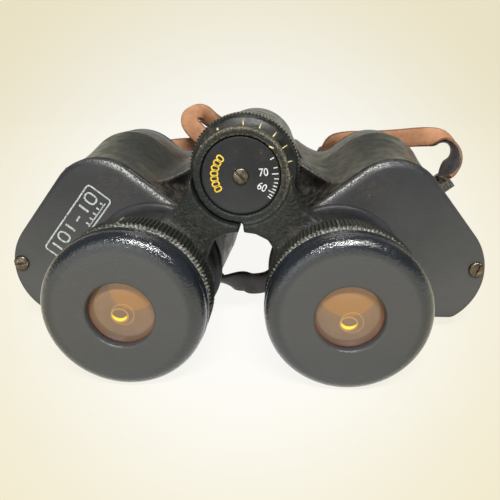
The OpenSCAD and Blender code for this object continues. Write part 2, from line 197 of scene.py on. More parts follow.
def painted(name, dark, light, rough, grain=2600, grain_depth=0.00005, grain_strength=0.5,
            dust=1.0, edge=rgb(0.20, 0.20, 0.19), edge_amount=0.8, edge_at=(0.535, 0.60), stretch=None,
            pits=0.3, matt_and_sheen=rgb(0.085, 0.086, 0.084), spec=0.35, coat=0.0):
    """Black stoved paint: uneven tone, fine grain, scuffed edges, brown dust where `dust` says, and painted
    highlights and a painted sheen where mesh attributes ask for them.
    """
    m = Mat(name, Specular_IOR_Level=spec)
    cloud = m.step(m.noise(45, 5), 0.35, 0.68)
    tone = m.mix(cloud, dark, light)
    fine = m.noise(grain, 3, 0.65, stretch)
    patch = m.noise(520, 4, 0.7)
    # scuffed edges, and painted highlights where a mesh attribute asks for them
    worn_and_highlit = m.math("MULTIPLY", m.edges(*edge_at), m.step(m.noise(1400, 3), 0.38, 0.62), True)
    rubbed_and_highlit = m.math("MULTIPLY", m.attr("wear_and_highlight"), m.step(m.noise(2300, 3, 0.6), 0.40, 0.60), True)
    worn_and_highlit = m.math("MAXIMUM", worn_and_highlit, rubbed_and_highlit)
    tone = m.mix(m.math("MULTIPLY", worn_and_highlit, edge_amount), tone, edge)
    # painted sheen and painted highlights, and the paler matte face of the eyecups, where a mesh attribute
    # asks for them
    tone = m.mix(m.attr("matt_and_sheen"), tone, matt_and_sheen)
    # dust that has settled in the hollows, and flecks of it
    settled = m.math("MULTIPLY", m.attr("dust"), m.step(patch, 0.42, 0.66), True)
    settled = m.math("MULTIPLY", settled, 0.45 * dust)
    tone = m.mix(settled, tone, rgb(0.110, 0.082, 0.055))
    fleck = m.math("MULTIPLY", m.step(m.noise(1900, 2, 0.5), 0.70, 0.74),
                   m.step(m.noise(260, 2), 0.40, 0.62), True)
    amount = m.math("ADD", m.math("MULTIPLY", m.attr("dust"), 1.3), 0.06)
    fleck = m.math("MULTIPLY", fleck, amount, True)
    tone = m.mix(fleck, tone, rgb(0.42, 0.21, 0.09))
    r = m.math("ADD", m.step(m.noise(300, 4), 0.3, 0.7, rough - 0.07, rough + 0.10),
               m.math("MULTIPLY", settled, 0.4), True)
    r = m.math("SUBTRACT", r, m.math("MULTIPLY", worn_and_highlit, 0.12), True)
    r = m.math("ADD", r, m.math("MULTIPLY", m.attr("matt_and_sheen"), 0.34), True)
    n = m.bump(m.noise(170, 3, 0.5), 0.25, 0.0004)
    n = m.bump(fine, grain_strength, grain_depth * 4, n)
    n = m.bump(m.step(m.cells(1500), 0.05, 0.30), pits, 0.00006, n)
    if coat:
        m.put(m.b.inputs["Coat Weight"],
              m.math("MULTIPLY", m.math("SUBTRACT", 1.0, m.attr("matt_and_sheen"), True), coat))
        m.b.inputs["Coat Roughness"].default_value = 0.13
        m.put(m.b.inputs["Coat Normal"], n)
    return m.done(tone, r, n)


def metal(name, a, b, rough, scratch=0.5, edge_bright=0.3):
    m = Mat(name, Metallic=1.0)
    tone = m.mix(m.step(m.noise(900, 4), 0.35, 0.7), a, b)
    lines = m.noise(900, 3, 0.6, (14, 1, 1))
    dirt = m.step(m.noise(2300, 3), 0.55, 0.7)
    tone = m.mix(m.math("MULTIPLY", dirt, 0.55), tone, rgb(0.05, 0.035, 0.02))
    tone = m.mix(m.math("MULTIPLY", m.edges(), edge_bright), tone, rgb(0.75, 0.70, 0.6))
    r = m.step(lines, 0.3, 0.7, rough - 0.1, rough + 0.15)
    return m.done(tone, r, m.bump(lines, scratch, 0.00003))


def marking(name, color, worn_color, wear=0.55):
    m = Mat(name)
    chip = m.step(m.noise(2600, 3), wear, wear + 0.08)
    tone = m.mix(m.step(m.noise(700, 3), 0.3, 0.7), color, tuple(0.78 * c for c in color[:3]) + (1,))
    tone = m.mix(chip, tone, worn_color)
    return m.done(tone, m.step(m.noise(900), 0.3, 0.7, 0.45, 0.65), m.bump(m.noise(3000), 0.3, 0.00002))


# the pale second colour is the painted highlight on the far rim of the housings
CASTING = painted("casting_paint", rgb(0.010, 0.012, 0.013), rgb(0.020, 0.024, 0.025), 0.34,
                  grain=1500, grain_strength=0.22, dust=1.9, matt_and_sheen=rgb(0.17, 0.175, 0.17))
ARM = painted("arm_paint", rgb(0.009, 0.012, 0.011), rgb(0.020, 0.024, 0.021), 0.40,
              grain=1300, grain_depth=0.00010, grain_strength=0.9, dust=0.8, pits=0.6,
              edge=rgb(0.34, 0.29, 0.19), edge_at=(0.56, 0.66))
# the pale edge colour serves scuffed edges and the painted highlight along the ridge
COVER = painted("cover_paint", rgb(0.020, 0.021, 0.024), rgb(0.034, 0.035, 0.040), 0.42,
                grain=900, grain_strength=0.45, stretch=(1, 1, 2.2), edge=rgb(0.62, 0.62, 0.60),
                edge_amount=1.0, edge_at=(0.60, 0.70))
METAL_BLACK = painted("black_metal", rgb(0.013, 0.014, 0.015), rgb(0.028, 0.030, 0.032), 0.36,
                      grain=2600, grain_strength=0.3, edge=rgb(0.15, 0.14, 0.12), edge_amount=0.8)
# the pale edge colour serves scuffed edges and the painted highlight on the front bevel of the eyecup rings
KNURL = painted("knurl_paint", rgb(0.009, 0.011, 0.010), rgb(0.022, 0.025, 0.022), 0.34,
                grain=2600, grain_strength=0.3, edge=rgb(0.42, 0.42, 0.37), edge_amount=0.85,
                 edge_at=(0.60, 0.72))
# the paler second colour is the matte face of the eyecups, its pale tone partly a painted sheen
BAKELITE = painted("bakelite", rgb(0.010, 0.013, 0.017), rgb(0.015, 0.019, 0.024), 0.17,
                   grain=1500, grain_depth=0.00006, grain_strength=0.62, dust=0.25, pits=0.5,
                   spec=0.5, coat=0.9,
                   edge=rgb(0.06, 0.06, 0.06), edge_amount=0.3, matt_and_sheen=rgb(0.060, 0.061, 0.061))
ENAMEL = painted("disc_enamel", rgb(0.009, 0.010, 0.011), rgb(0.020, 0.021, 0.022), 0.33,
                 grain=2600, grain_strength=0.5, dust=0.5)
BRONZE = metal("worn_bronze", rgb(0.13, 0.105, 0.080), rgb(0.24, 0.20, 0.15), 0.34)
STEEL = metal("steel", rgb(0.25, 0.26, 0.27), rgb(0.40, 0.41, 0.42), 0.34)
WHITE = marking("white_marks", rgb(0.80, 0.82, 0.80), rgb(0.16, 0.17, 0.17))
LABEL = marking("label_marks", rgb(0.55, 0.60, 0.60), rgb(0.10, 0.11, 0.11), 0.53)
YELLOW = marking("yellow_marks", rgb(0.86, 0.58, 0.05), rgb(0.30, 0.18, 0.02), 0.60)
CREAM = marking("cream_marks", rgb(0.88, 0.74, 0.40), rgb(0.30, 0.22, 0.10), 0.58)
ORANGE = marking("orange_marks", rgb(0.52, 0.27, 0.10), rgb(0.14, 0.07, 0.03), 0.52)


def leather(name, a, b, rough, grain, strength):
    m = Mat(name)
    tone = m.mix(m.step(m.noise(140, 6, 0.65), 0.35, 0.68), a, b)
    tone = m.mix(m.math("MULTIPLY", m.step(m.noise(1500, 3), 0.60, 0.72), 0.35), tone,
                 tuple(0.55 * c for c in a[:3]) + (1,))
    n = m.bump(m.noise(grain, 4, 0.7), strength, 0.00012)
    n = m.bump(m.cells(grain * 0.9), strength * 0.5, 0.00008, n)
    return m.done(tone, m.step(m.noise(500, 3), 0.3, 0.7, rough - 0.08, rough + 0.1), n)


SUEDE = leather("strap_suede", rgb(0.36, 0.168, 0.085), rgb(0.50, 0.255, 0.135), 0.86, 2200, 0.7)
GRAIN = leather("strap_black", rgb(0.020, 0.019, 0.020), rgb(0.048, 0.044, 0.043), 0.46, 1500, 0.6)
RUBBED = leather("strap_edge", rgb(0.15, 0.070, 0.038), rgb(0.28, 0.140, 0.080), 0.75, 2600, 0.5)


def lens_material(name, side):
    """Amber-coated eye lens, opaque: the bright far opening, two ghost-ring reflections and a highlight are
    painted into its colour, with painted shade low and at the rim and a faint glow.
    """
    m = Mat(name, IOR=1.55)
    c = from_eye(side, np.array([0, 0, 0.0]))
    xyz = m.add("SeparateXYZ", {}, {0: m.co})

    def disc(x, z, r, soft=0.3, sx=1.0):
        dx = m.math("MULTIPLY", m.math("SUBTRACT", xyz.outputs[0], c[0] + x * MM), sx / MM)
        dz = m.math("MULTIPLY", m.math("SUBTRACT", xyz.outputs[2], c[2] + z * MM), 1 / MM)
        d = m.math("SQRT", m.math("ADD", m.math("MULTIPLY", dx, dx), m.math("MULTIPLY", dz, dz)))
        return m.step(d, r - soft, r + soft, 1.0, 0.0)

    def ring(x, z, r, w, sx=1.0):
        return m.math("SUBTRACT", disc(x, z, r + w, 0.12, sx), disc(x, z, r - w, 0.12, sx), True)

    tone = m.mix(m.step(m.noise(120, 3), 0.3, 0.7), rgb(0.160, 0.098, 0.060), rgb(0.20, 0.120, 0.072))
    # painted light: the bright far opening seen through the eyepiece
    painted_window = disc(3.0, 6.2, 5.4, 0.25) if side < 0 else disc(-0.6, 7.2, 7.0, 0.3)
    tone = m.mix(m.math("MULTIPLY", painted_window, 0.85), tone, rgb(0.27, 0.135, 0.046))
    # painted shade toward the lower edge of the lens
    low = disc(0.4, 2.2, 7.8, 0.25)
    tone = m.mix(m.math("MULTIPLY", m.math("SUBTRACT", 1.0, low), 0.55), tone, rgb(0.15, 0.105, 0.078))
    # painted reflections: two ghost rings round a spot
    spot = (-0.4, -0.6) if side < 0 else (-0.1, -1.6)
    tone = m.mix(m.math("MULTIPLY", ring(spot[0], spot[1], 1.7, 0.12, 0.9), 0.5), tone, rgb(0.62, 0.33, 0.08))
    tone = m.mix(m.math("MULTIPLY", ring(spot[0] + 0.7, spot[1] + 0.3, 2.5, 0.14), 0.25), tone,
                 rgb(0.60, 0.36, 0.10))
    # painted highlight: a yellow crescent
    painted_glint = m.math("MULTIPLY", disc(spot[0], spot[1] + 0.1, 1.5, 0.15, 0.9),
                   m.math("SUBTRACT", 1.0, disc(spot[0] + 0.1, spot[1] + 0.9, 1.5, 0.15, 0.8)), True)
    tone = m.mix(painted_glint, tone, rgb(0.95, 0.66, 0.05))
    # painted shade: a darker red ring at the rim of the lens
    rim = m.math("SUBTRACT", 1.0, disc(0, 0, 7.35, 0.25))
    tone = m.mix(m.math("MULTIPLY", rim, 0.7), tone, rgb(0.22, 0.075, 0.035))
    # the lens glows faintly: painted light coming through it
    m.put(m.b.inputs["Emission Color"], tone)
    m.b.inputs["Emission Strength"].default_value = 0.16
    m.b.inputs["Coat Weight"].default_value = 0.5
    m.b.inputs["Coat Roughness"].default_value = 0.04
    smear = m.step(m.noise(600, 4), 0.4, 0.8, 0.10, 0.30)
    return m.done(tone, smear, m.bump(m.noise(900, 2), 0.05, 0.00002))


def objective_glass():
    m = Mat("objective_glass", IOR=1.5)
    tone = m.mix(m.step(m.noise(60, 2), 0.3, 0.7), rgb(0.010, 0.012, 0.030), rgb(0.030, 0.022, 0.055))
    m.b.inputs["Coat Weight"].default_value = 1.0
    m.b.inputs["Coat Roughness"].default_value = 0.02
    m.b.inputs["Coat Tint"].default_value = rgb(0.55, 0.6, 1.0)
    dust = m.step(m.noise(2500, 2), 0.66, 0.72)
    tone = m.mix(m.math("MULTIPLY", dust, 0.3), tone, rgb(0.3, 0.3, 0.3))
    return m.done(tone, m.step(m.noise(500, 3), 0.4, 0.8, 0.05, 0.2))


OBJECTIVE_GLASS = objective_glass()


# ---------- making meshes ----------

def outward(verts, faces):
    """The faces, turned so that they look outward."""
    v = verts - verts.mean(0)
    volume = 0.0
    for n in {len(f) for f in faces}:
        f = np.array([g for g in faces if len(g) == n])
        for i in range(1, n - 1):
            volume += np.einsum("ij,ij->i", v[f[:, 0]], np.cross(v[f[:, i]], v[f[:, i + 1]])).sum()
    return faces if volume > 0 else [g[::-1] for g in faces]


def piece(name, verts, faces, mat, body=None, replaces=(), sharp=38, weld=False, dust=None,
          wear_and_highlight=None, matt_and_sheen=None):
    verts = np.asarray(verts, float)
    faces = outward(verts, [list(map(int, f)) for f in faces])
    me = bpy.data.meshes.new(name)
    me.from_pydata(verts.tolist(), [], faces)
    if weld:
        bm = bmesh.new()
        bm.from_mesh(me)
        bmesh.ops.remove_doubles(bm, verts=bm.verts, dist=1e-6)
        bm.to_mesh(me)
        bm.free()
    me.shade_smooth()
    if sharp:
        me.set_sharp_from_angle(angle=math.radians(sharp))
    me.materials.append(mat)
    co = np.zeros(len(me.vertices) * 3)
    me.vertices.foreach_get("co", co)
    for key, rule in (("dust", dust), ("wear_and_highlight", wear_and_highlight), ("matt_and_sheen", matt_and_sheen)):
        if rule is not None:
            at = me.attributes.new(key, "FLOAT", "POINT")
            at.data.foreach_set("value", np.clip(rule(co.reshape(-1, 3)), 0, 1).astype(np.float32))
    ob = bpy.data.objects.new(name, me)
    bpy.context.scene.collection.objects.link(ob)
    if body:
        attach(ob, body)
    if replaces:
        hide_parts(*replaces)
    return ob


def cloud(points):
    """Dust round some points [x, station, z from the hinge, radius, amount] in mm."""
    def at(co):
        out = np.zeros(len(co))
        for x, y, z, r, a in points:
            c = from_hinge([x, y, z])
            d2 = ((co - c) ** 2).sum(1) / (r * MM) ** 2
            out = np.maximum(out, a * np.exp(-d2))
        return out
    return at


def arc(c, r, a0, a1, n=6):
    t = np.radians(np.linspace(a0, a1, n + 1))
    return [(c[0] + r * math.cos(a), c[1] + r * math.sin(a)) for a in t]


def lathe(profile, seg=128, ripple=None):
    """A closed profile of (radius, station) turned about Y; ripple changes the radius by row and angle."""
    p = np.array(profile, float)
    a = np.linspace(0, 2 * math.pi, seg, endpoint=False)
    r = np.repeat(p[:, :1], seg, 1)
    if ripple is not None:
        r = r + ripple(p, a)
    xyz = np.stack([r * np.sin(a), np.repeat(p[:, 1:], seg, 1), r * np.cos(a)], -1).reshape(-1, 3)
    n = len(p)
    i, j = np.meshgrid(np.arange(n), np.arange(seg), indexing="ij")
    i2, j2 = (i + 1) % n, (j + 1) % seg
    quads = np.stack([i * seg + j, i2 * seg + j, i2 * seg + j2, i * seg + j2], -1).reshape(-1, 4)
    return xyz, quads


def loft(rings, closed=True, caps=True):
    rings = [np.asarray(r, float) for r in rings]
    n, m = len(rings), len(rings[0])
    faces = [[i * m + j, (i + 1) * m + j, (i + 1) * m + (j + 1) % m, i * m + (j + 1) % m]
             for i in range(n - 1) for j in range(m if closed else m - 1)]
    if caps:
        faces += [list(range(m))[::-1], list(range((n - 1) * m, n * m))]
    return np.concatenate(rings), faces


def smax(a, b, k):
    h = np.clip(0.5 + 0.5 * (a - b) / k, 0, 1)
    return b * (1 - h) + a * h + k * h * (1 - h)


def smin(a, b, k):
    return -smax(-a, -b, k)


def polygon_distance(x, z, points):
    """Signed distance to a polygon, below zero inside."""
    p = np.array(points, float)
    best, inside = np.full(x.shape, 1e9), np.zeros(x.shape, bool)
    for a, b in zip(p, np.roll(p, -1, 0)):
        e = b - a
        t = np.clip(((x - a[0]) * e[0] + (z - a[1]) * e[1]) / (e @ e), 0, 1)
        best = np.minimum(best, (x - a[0] - e[0] * t) ** 2 + (z - a[1] - e[1] * t) ** 2)
        if a[1] != b[1]:
            inside ^= ((a[1] > z) != (b[1] > z)) & (x < e[0] * (z - a[1]) / e[1] + a[0])
    return np.sqrt(best) * np.where(inside, -1, 1)


def skin(field, low, step):
    """A quad mesh over the zero surface of a sampled field (surface nets)."""
    f = np.asarray(field, np.float32)
    n = np.array(f.shape) - 1
    inside = f < 0
    total, count = np.zeros((*n, 3), np.float32), np.zeros(n, np.float32)
    for c in np.ndindex(2, 2, 2):
        for axis in range(3):
            if c[axis]:
                continue
            d = list(c)
            d[axis] = 1
            cut = lambda q: f[q[0]:n[0] + q[0], q[1]:n[1] + q[1], q[2]:n[2] + q[2]]
            a, b = cut(c), cut(d)
            cross = (a < 0) != (b < 0)
            t = np.where(cross, a / np.where(cross, a - b, 1), 0)
            for k in range(3):
                total[..., k] += cross * (t if k == axis else c[k])
            count += cross
    used = count > 0
    index = np.full(n, -1)
    index[used] = np.arange(used.sum())
    verts = (np.argwhere(used) + total[used] / count[used][:, None]) * step + np.array(low)
    quads = []
    for axis in range(3):
        u, v = (axis + 1) % 3, (axis + 2) % 3
        lo = [slice(1, -1)] * 3
        lo[axis] = slice(0, -1)
        hi = list(lo)
        hi[axis] = slice(1, None)
        a, b = inside[tuple(lo)], inside[tuple(hi)]
        at = np.argwhere(a != b)
        flip = a[tuple(at.T)]
        at[:, u] += 1
        at[:, v] += 1
        du, dv = np.eye(3, dtype=int)[u], np.eye(3, dtype=int)[v]
        q = np.stack([index[tuple((at - s).T)] for s in (0 * du, du, du + dv, dv)], 1)
        quads.append(np.where(flip[:, None], q, q[:, ::-1]))
    return verts, np.concatenate(quads)


def grid(low, high, step):
    axes = [np.arange(a, b + step, step) for a, b in zip(low, high)]
    return np.meshgrid(*axes, indexing="ij")


# ---------- strap ----------

STRAP_W, STRAP_T = 7.5, 1.8
EDGE = STRAP_W / 2 + 0.1
LUG = (67.6, 65.8, 37.4)


def spline(points, n=6):
    """Catmull-Rom through rows of numbers."""
    p = np.array(points, float)
    out = []
    for i in range(len(p) - 1):
        a, b, c, d = p[max(i - 1, 0)], p[i], p[i + 1], p[min(i + 2, len(p) - 1)]
        for t in np.arange(n) / n:
            out.append(b + t / 2 * (c - a) + t * t * (a - 2.5 * b + 2 * c - d / 2)
                       + t ** 3 / 2 * (3 * b - a - 3 * c + d))
    return np.array(out + [p[-1]])


def strap_rows():
    """Rows of the strap's centreline from lug to lug: a point, and the way the suede side faces."""
    right = [
        (*LUG, 1, 0, -0.3), (69, 67.5, 39.6, 0.9, 0.5, -0.3), (71.2, 70.5, 42.9, 0.8, 0.7, -0.2),
        (72.8, 74, 46.1, 0.95, 0.2, 0.1), (72.8, 78.5, 49.2, 0.7, -0.8, 0.4), (69.5, 83, 50.6, 0.25, -1, 0.3),
        (64, 86.5, 50.4, 0, -1, 0.1), (57.5, 89, 49.6, 0, -1, 0), (50, 90.5, 48.9, 0, -1, 0),
        (43, 91.5, 48.6, 0, -1, 0), (37, 93, 48.3, 0, -1, 0), (32, 97, 47, 0.3, -1, 0),
         (30, 102, 44, 0.4, -0.9, 0),
        (29.2, 103.6, 42.4, 0.2, -1, 0), (27.6, 108, 37, 0, -1, 0), (26.6, 112, 30, -0.1, -1, 0),
        (26, 115.5, 23, -0.4, -0.9, 0), (23.5, 120, 17, -0.9, -0.4, 0), (18, 129, 13.4, -0.95, 0.2, 0),
        (12, 137.5, 12.2, -0.8, 0.6, 0), (6, 145, 12, -0.6, 0.8, 0), (-1, 151.5, 11.4, -0.3, 0.95, 0),
        (-8, 157, 8.4, 0.2, 1, 0), (-14, 162.5, 5.2, 0.7, 0.7, 0)]
    # the unseen length, wound on its edge as a flat coil behind the hinge
    cx, cy, start, r0, r1, turns = 0, 175, 212, 18.6, 31, 2.59
    coil = []
    for i in range(1, 48):
        t = i / 48
        a, r = math.radians(start - 360 * turns * t), r0 + (r1 - r0) * t
        coil.append((cx + r * math.cos(a), cy + r * math.sin(a), EDGE, -math.cos(a), -math.sin(a), 0))
    left = [
        (31, 168, EDGE, -1, 0, 0), (29.6, 154, EDGE, -1, 0.2, 0), (24.6, 143.5, EDGE, -1, 0.4, 0),
        (18, 130, EDGE, -1, 0.4, 0), (12, 114, EDGE, -1, 0.2, 0), (8.8, 98, EDGE, -1, 0.1, 0),
        (7.9, 84, EDGE, -1, 0, 0), (7.9, 70, EDGE, -1, 0, 0), (7.4, 58, EDGE, -1, 0.2, 0),
        (5, 51.5, EDGE, -0.7, 0.7, 0), (0.4, 49.4, EDGE + 0.1, -0.1, 1, 0.05),
        (-2.6, 50.3, EDGE + 0.5, 0.1, 1, 0.1), (-6, 51.2, EDGE - 0.2, 0.3, 0.9, 0.35),
        (-9.6, 53.2, 3.0, 0.3, 0.6, 0.9), (-13.4, 58, 1.7, 0.1, 0.1, 1), (-18, 67, 1.25, 0, 0, 1),
        (-21.6, 78, 1.25, 0, 0, 1), (-24, 89, 1.3, 0, 0, 1), (-25, 98, 1.9, 0, -0.2, 1),
        (-25.2, 103.4, 4.2, 0, -0.6, 0.8), (-23.6, 108, 8, 0, -0.9, 0.5), (-19, 111.4, 15, 0, -1, 0.2),
        (-13, 112.4, 24, 0, -1, 0), (-7.6, 111.8, 34, 0, -1, 0), (-6.2, 110, 42, 0, -1, 0),
        (-10.9, 107.4, 47.2, 0, -1, -0.2), (-16, 105, 52.0, 0, -1, -0.3), (-20.9, 102.4, 56, 0.1, -0.9, -0.4),
        (-24.2, 98.8, 59, 0.5, -0.5, 0.2), (-27.4, 94.6, 58.2, 0.4, 0, 0.9),
         (-27.6, 91.2, 55.4, -0.3, -0.6, 0.7),
        (-24.6, 89.2, 51.8, -0.1, -1, 0.2), (-20.4, 88.8, 48.4, 0, -1, 0), (-16, 91.2, 45.6, 0.4, -0.9, 0),
        (-13, 94.4, 44, 0.3, -0.2, -0.9), (-13.6, 98, 43.6, -0.8, -0.3, -0.4),
         (-18.4, 100.6, 44.2, -0.3, -1, 0),
        (-24.5, 99.8, 44.8, 0, -1, 0), (-31, 97.6, 44.8, 0, -1, 0), (-38, 95.2, 44.3, 0, -1, 0),
        (-46, 93, 43, 0, -1, 0), (-54, 91.4, 41, 0, -1, 0), (-62, 89.4, 36.8, 0.2, -1, 0),
        (-68.6, 85.8, 33.6, 0.6, -0.8, 0), (-72, 80.8, 31.8, 0.9, -0.4, 0), (-72.2, 75.5, 32.4, 1, 0, 0),
        (-70.4, 70, 34.8, 1, 0, 0.2), (-LUG[0], LUG[1], LUG[2], 1, 0, 0.2)]
    return spline(right + coil + left, 5)


def add_strap():
    rows = strap_rows()
    p = rows[:, :3]
    d = np.gradient(p, axis=0)
    d /= np.linalg.norm(d, axis=1)[:, None]
    n = rows[:, 3:] - d * np.einsum("ij,ij->i", rows[:, 3:], d)[:, None]
    for _ in range(3):
        n[1:-1] = (n[:-2] + 2 * n[1:-1] + n[2:]) / 4
        n -= d * np.einsum("ij,ij->i", n, d)[:, None]
    n /= np.linalg.norm(n, axis=1)[:, None]
    w = np.cross(d, n)
    # across the strap: (along its width, toward the suede, which material)
    h, t = STRAP_W / 2, STRAP_T / 2
    section = [(-h + 0.5, t), (-h / 3, t), (h / 3, t), (h - 0.5, t), (h - 0.1, t * 0.6), (h, 0),
               (h - 0.1, -t * 0.6),
               (h - 0.5, -t), (h / 3, -t * 1.04), (-h / 3, -t * 1.04), (-h + 0.5, -t), (-h + 0.1, -t * 0.6),
               (-h, 0),
               (-h + 0.1, t * 0.6)]
    which = [0, 0, 0, 2, 2, 2, 1, 1, 1, 1, 1, 2, 2, 2]
    rings = [from_floor(p[i] + np.outer([s[0] for s in section], w[i])
                        + np.outer([s[1] for s in section], n[i])) for i in range(len(p))]
    for r in rings:
        r[:, 2] = np.maximum(r[:, 2], 0.0001)
    verts, faces = loft(rings)
    ob = piece("strap", verts, faces, SUEDE, sharp=50)
    ob.data.materials.append(GRAIN)
    ob.data.materials.append(RUBBED)
    m = len(section)
    for f in ob.data.polygons:
        ids = sorted({v % m for v in f.vertices})
        if len(f.vertices) == 4:
            j = ids[0] if ids[1] - ids[0] == 1 else ids[1]
            f.material_index = which[j]
        else:
            f.material_index = 2
    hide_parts("strap_right", "strap_mid", "strap_coil", "strap_front", "strap_under", "strap_left")
    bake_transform(ob)


add_strap()


# ---------- prism housings ----------

HOUSING = (30.4, 72.0)
FLARE_FROM, FLARE_TO = 30.9, 60.0
FOOT_DIR = math.radians(-128.7)


def outline_at(k):
    """Circles [x, z, r] and the foot's distance of a housing's outline in the block frame."""
    rc = 14 + 1.5 * k
    return ([(0, 0, 17.6 + 1.4 * k), (SHIFT_OUT, -SHIFT_DOWN, 17.2 + 1.4 * k),
             (36 + 4.2 * k - rc, 17.4 + 3.2 * k - rc, rc)], 15.7 + 0.6 * k)


def outline_distance(x, z, k):
    circles, foot = outline_at(k)
    d = np.full(x.shape, -1e9)
    for a in np.radians(np.arange(0, 360, 5)):
        c, s = math.cos(a), math.sin(a)
        d = np.maximum(d, x * c + z * s - max(q[0] * c + q[1] * s + q[2] for q in circles))
    return smax(d, x * math.cos(FOOT_DIR) + z * math.sin(FOOT_DIR) - foot, 2.5)


def outline_ring(k, inset, soft=3.0, n=180):
    """Points of the outline, drawn in by inset, with its corners softened."""
    circles, foot = outline_at(k)
    a = np.linspace(0, 2 * math.pi, n, endpoint=False)
    u = np.stack([np.cos(a), np.sin(a)], 1)
    pts = []
    for v in u:
        q = max(circles, key=lambda c: c[0] * v[0] + c[1] * v[1] + c[2])
        pts.append(np.array(q[:2]) + (q[2] - inset - soft) * v)
    f = np.array([math.cos(FOOT_DIR), math.sin(FOOT_DIR)])
    keep, limit = [], foot - inset - soft
    for p, q in zip(pts, pts[1:] + pts[:1]):
        dp, dq = p @ f - limit, q @ f - limit
        if dp <= 0:
            keep.append(p)
        if (dp < 0) != (dq < 0):
            keep.append(p + (q - p) * dp / (dp - dq))
    keep = np.array(keep)
    return keep[np.argmax(u @ keep.T, 1)] + soft * u


def web_front(u):
    """Station of the web's front edge, which runs forward from the hinge to the cover."""
    t = np.clip((u - 8.5) / 11.5, 0, 1)
    return 44.6 - 13.8 * t * t * (3 - 2 * t)


def housing_mesh(side):
    """The casting in its half's frame: prism block, hollowed web with its lip, hinge knuckles."""
    step = 0.62
    low, high = (-17, 29, -76), (45, 86, 17)
    u, y, v = grid(low, high, step)
    off = half_angle - tilt
    bx = u * math.cos(off) - (v + to_eye) * math.sin(off)
    bz = u * math.sin(off) + (v + to_eye) * math.cos(off)
    d = np.empty(u.shape)
    for j in range(u.shape[1]):
        k = np.clip((y[0, j, 0] - FLARE_FROM) / (FLARE_TO - FLARE_FROM), 0, 1)
        d[:, j, :] = outline_distance(bx[:, j, :], bz[:, j, :], k * k * (1.6 - 0.6 * k))
    block = smax(d, np.maximum(HOUSING[0] - y, y - HOUSING[1]), 0.5)

    r_hinge = np.hypot(u, v)
    own_side = 0.5 - (u * math.cos(half_angle) - v * math.sin(half_angle))
    web = polygon_distance(u, v, [(-9, -5), (-9, -22), (-4, -26), (24, -28), (27, -21), (24, -12),
                                  (17, -5), (10, -5)])
    hollow = 23.5 - 3.0 * (y - 44) / 28 - np.hypot(u - 34.3, v + 5.5)
    web = smax(web, hollow, 1.6)
    web = smax(web, web_front(u) - y, 1.0)
    web = smax(web, y - 73.2, 1.2)
    web = smax(web, 15.0 - r_hinge, 0.8)
    web = smax(web, own_side, 0.4)
    body = smin(block, web, 2.6)

    arm = polygon_distance(u, v, [(-9, -6), (-9, -20), (8, -20), (12, -12), (13.2, -7), (13.6, -3)])
    arm = smax(arm, own_side, 0.4)
    for y0, y1 in (((41, 49.8), (68, 84)) if side < 0 else ((50.1, 67.7),)):
        ends = np.maximum(y0 - y, y - y1)
        knuckle = smax(r_hinge - 14.6, ends, 0.8)
        joined = smax(arm, np.maximum(np.maximum(y0, 44) - y, y - min(y1, 73)), 0.5)
        body = smin(body, smin(knuckle, joined, 1.0), 0.6)
    body = np.maximum(body, 7.1 - r_hinge)
    return skin(body, low, step)


def add_housing(name, side):
    verts, quads = housing_mesh(side)
    dust = cloud([(side * 17, 38, -8, 8, 1.0), (side * 22, 34, -4.5, 7, 0.9), (side * 14, 44, -3, 5, 0.7),
                  (side * 30, 60, -1, 7, 0.45), (side * 16, 66, 1, 6, 0.5), (side * 9, 50, -12, 8, 0.6)])

    # painted highlight: a pale band along the far rim of the housing, only on its upper side
    def far_rim(co):
        st = (co[:, 1] - face) / MM
        return 0.9 * np.exp(-((st - 69.5) / 4) ** 2) * np.clip((co[:, 2] - 0.040) / 0.008, 0, 1)

    def lip(co):
        """The front edge of the web: a painted highlight line along it."""
        d = (co * [side, 1, 1] - hinge) / MM
        u = d[:, 0] * math.cos(half_angle) + d[:, 2] * math.sin(half_angle)
        v = -d[:, 0] * math.sin(half_angle) + d[:, 2] * math.cos(half_angle)
        st = (co[:, 1] - face) / MM
        hollow = 23.5 - 3.0 * (st - 44) / 28 - np.hypot(u - 34.3, v + 5.5)
        return (np.exp(-((st - web_front(u)) / 0.9) ** 2 - (hollow / 0.9) ** 2)
                * np.clip((u - 9) / 2, 0, 1) * np.clip((21 - u) / 2, 0, 1) * 1.3)

    piece(name + "_casting", from_half(side, verts), quads, CASTING, name + "_half",
          [name + "_housing"], sharp=None, dust=dust, matt_and_sheen=far_rim, wear_and_highlight=lip)


def cover_rings(profile, k):
    return [np.insert(outline_ring(k, inset), 1, y, axis=1) for inset, y in profile]


